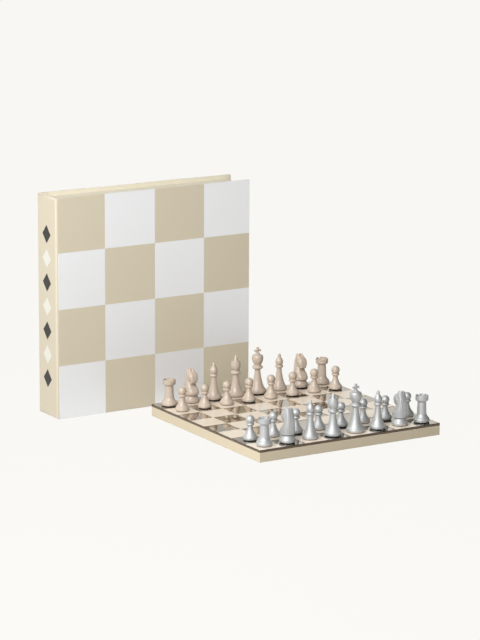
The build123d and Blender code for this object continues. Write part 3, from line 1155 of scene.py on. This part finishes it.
def soft_board(node_name, body, width):
    """A board in its paper, rounded at every edge, or on the spine at the outer ones."""
    low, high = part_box(node_name)
    if node_name == "spine_board":
        high = high - Vector((TURNED_IN, 0, 0))
    work = cuboid(low, high)
    rounded = work.edges
    if node_name.startswith("spine"):
        outer = low.x + WELD
        rounded = [edge for edge in work.edges if all(vertex.co.x < outer for vertex in edge.verts)]
    round_over(work, rounded, width, ROUND_SEGMENTS)
    mesh = baked(work, ("WEIGHTED_NORMAL", {"keep_sharp": True}), sharp=STILL_SMOOTH)
    slot_name = slot_of_node[node_name]
    finished(f"{node_name}_soft", mesh, finish_of_slot[slot_name])
    place_piece(f"{node_name}_soft", mesh, body, node_name)


soft_edges = {
    "board_wrap": ("board", 0.6 * MM),
    "front_cover_wrap": ("case_cover", 0.6 * MM),
    "back_cover_wrap": ("case_tray", 0.6 * MM),
    "spine_board": ("case_tray", 2.7 * MM),
    "spine_wrap": ("case_tray", 3.0 * MM),
    "tray_tail_wall": ("case_tray", 0.4 * MM),
    "tray_head_wall": ("case_tray", 0.4 * MM),
    "tray_spine_wall": ("case_tray", 0.4 * MM),
}
for name, (body, width) in soft_edges.items():
    soft_board(name, body, width)
print(len(soft_edges), "boards have soft edges now")

# %% [markdown]
# ## The foam
# The insert is foam under a flocked skin, which is glued down into the wells and so rounds over every
# rim. Faces that lie square to an axis keep flat shading, because smooth shading over such long
# triangles would show as wedges of light.

# %% Foam
FOAM_RIM = 1.6 * MM
RIM_SEGMENTS = 4
LEVEL = 0.995


def foam_piece():
    """The foam with its rims rounded over, as one piece."""
    work = cad_mesh("foam_insert")
    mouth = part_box("foam_insert")[0].y
    rims = [
        edge for edge in work.edges
        if all(abs(vertex.co.y - mouth) < WELD for vertex in edge.verts) and edge.calc_face_angle() > SHARP
    ]
    round_over(work, rims, FOAM_RIM, RIM_SEGMENTS)
    mesh = finished("foam_soft", baked(work), flocked_foam)
    for polygon in mesh.polygons:
        polygon.use_smooth = max(abs(share) for share in polygon.normal) < LEVEL
    piece = place_piece("foam_soft", mesh, "case_tray", "foam_insert")
    return piece


foam = foam_piece()
print("the foam has", len(foam.data.polygons), "faces")

# %% [markdown]
# ## The floor
# A pale floor runs out past the picture. What the camera sees of it is mostly its own glow, so that it
# reads as a clean page, and the rest is real light, so that the shadows stay. For light on its way to
# the object, the floor is a dull grey, or it would fill the shaded sides.

# %% Floor
PAGE = paint(249, 248, 244)
PAGE_SHARE = 0.94
PAGE_GLOW = 1.041
FLOOR_SHADE = paint(156, 155, 153)
FLOOR_HALF = 30.0
FLOOR_DROP = 0.05 * MM


def floor_finish():
    """A floor that is a page to the eye and dull ground to the light."""
    finish = Finish("studio_floor")
    finish.surface(base_color=FLOOR_SHADE, roughness=0.9, specular_ior_level=0.0)
    page = finish.node("Emission", sockets={"Color": PAGE, "Strength": PAGE_GLOW})
    straight, mirrored, through = [
        finish.node("LightPath", out=f"Is {kind} Ray") for kind in ("Camera", "Glossy", "Transmission")
    ]
    seen = finish.math("MINIMUM", straight + mirrored + through, 1.0)
    lit = Value(finish, finish.shader.outputs[0])
    mixed = finish.node("MixShader", sockets={0: seen * PAGE_SHARE, 1: lit, 2: page})
    finish.feed(finish.tree.nodes["Material Output"].inputs[0], mixed)
    return finish.material


floor = mesh_piece(
    "studio_floor", square_at(FLOOR_HALF, cad_bounds[0].z - FLOOR_DROP), [(0, 1, 2, 3)], floor_finish()
)
print("the floor is", 2 * FLOOR_HALF, "m across")

# %% [markdown]
# ## The walls
# The silver men and the mirror show what stands round them. In the photo they are bright to the left
# and dark to the right, so the studio has a bright wall and a dark one, with a soft change between.
# The camera itself sees only the page.

# %% Walls
BRIGHT_WALL, DARK_WALL = paint(226, 226, 224), paint(36, 31, 25)
TO_THE_RIGHT = (0.86, -0.5)
CHANGE_STARTS, CHANGE_ENDS = 0.08, 0.3


class Walls(Finish):
    """The studio's walls, as one sky."""

    def __init__(self, world):
        self.tree = world.node_tree
        self.shader = self.tree.nodes["Background"]


scene = bpy.context.scene
scene.world = bpy.data.worlds.new("studio")
scene.world.use_nodes = True
walls = Walls(scene.world)
direction = walls.axes(walls.node("TexCoord", out="Generated"))
rightness = direction[0] * TO_THE_RIGHT[0] + direction[1] * TO_THE_RIGHT[1]
studio = walls.mix(walls.step(rightness, CHANGE_STARTS, CHANGE_ENDS), BRIGHT_WALL, DARK_WALL)
camera_ray = walls.node("LightPath", out="Is Camera Ray")
walls.feed(walls.shader.inputs["Color"], walls.mix(camera_ray, studio, PAGE))
walls.feed(walls.shader.inputs["Strength"], 1.0)
print("the walls take", len(walls.tree.nodes), "nodes")

# %% [markdown]
# ## The lamp
# One wide lamp stands to the left and a little in front, where the photo's soft highlights and shaded
# right sides come from. A sun would make both hard.

# %% Lamp
LAMP_FROM = Vector((-0.65, -0.50, 0.50)).normalized()
LAMP_DISTANCE = 1.6
LAMP_SIZE = 1.0
LAMP_POWER = 28.0

lamp_light = bpy.data.lights.new("key", "AREA")
lamp_light.shape = "SQUARE"
lamp_light.size = LAMP_SIZE
lamp_light.energy = LAMP_POWER
lamp = linked("key", lamp_light)
lamp.location = (cad_bounds[0] + cad_bounds[1]) / 2 + LAMP_FROM * LAMP_DISTANCE
lamp.rotation_euler = LAMP_FROM.to_track_quat("Z", "Y").to_euler()
print("the lamp hangs", round(lamp.location.z, 2), "m up")

# %% [markdown]
# ## The camera
# Its place and turn were solved from the straight edges of the case and the board, so the picture is
# taken from where the photo was. It stands far off with a long lens, as a product camera does.

# %% Camera
CAMERA_PLACE = Vector((-2146.3, -3391.5, 1042.1)) * MM
CAMERA_YAW, CAMERA_PITCH, CAMERA_ROLL = -0.54549, 0.21908, 0.00495
LENS = 168.99
SENSOR = 36.0
FARTHEST = 100.0

camera_data = bpy.data.cameras.new("camera")
camera_data.sensor_fit = "VERTICAL"
camera_data.sensor_height = SENSOR
camera_data.lens = LENS
camera_data.clip_end = FARTHEST
camera = linked("camera", camera_data)
aim = Matrix.Rotation(CAMERA_YAW, 4, "Z") @ Matrix.Rotation(math.pi / 2 - CAMERA_PITCH, 4, "X")
camera.matrix_world = Matrix.Translation(CAMERA_PLACE) @ aim @ Matrix.Rotation(CAMERA_ROLL, 4, "Z")
scene.camera = camera
scene.view_settings.view_transform = "Standard"
print("the camera is", round(CAMERA_PLACE.length, 2), "m from the board's middle")
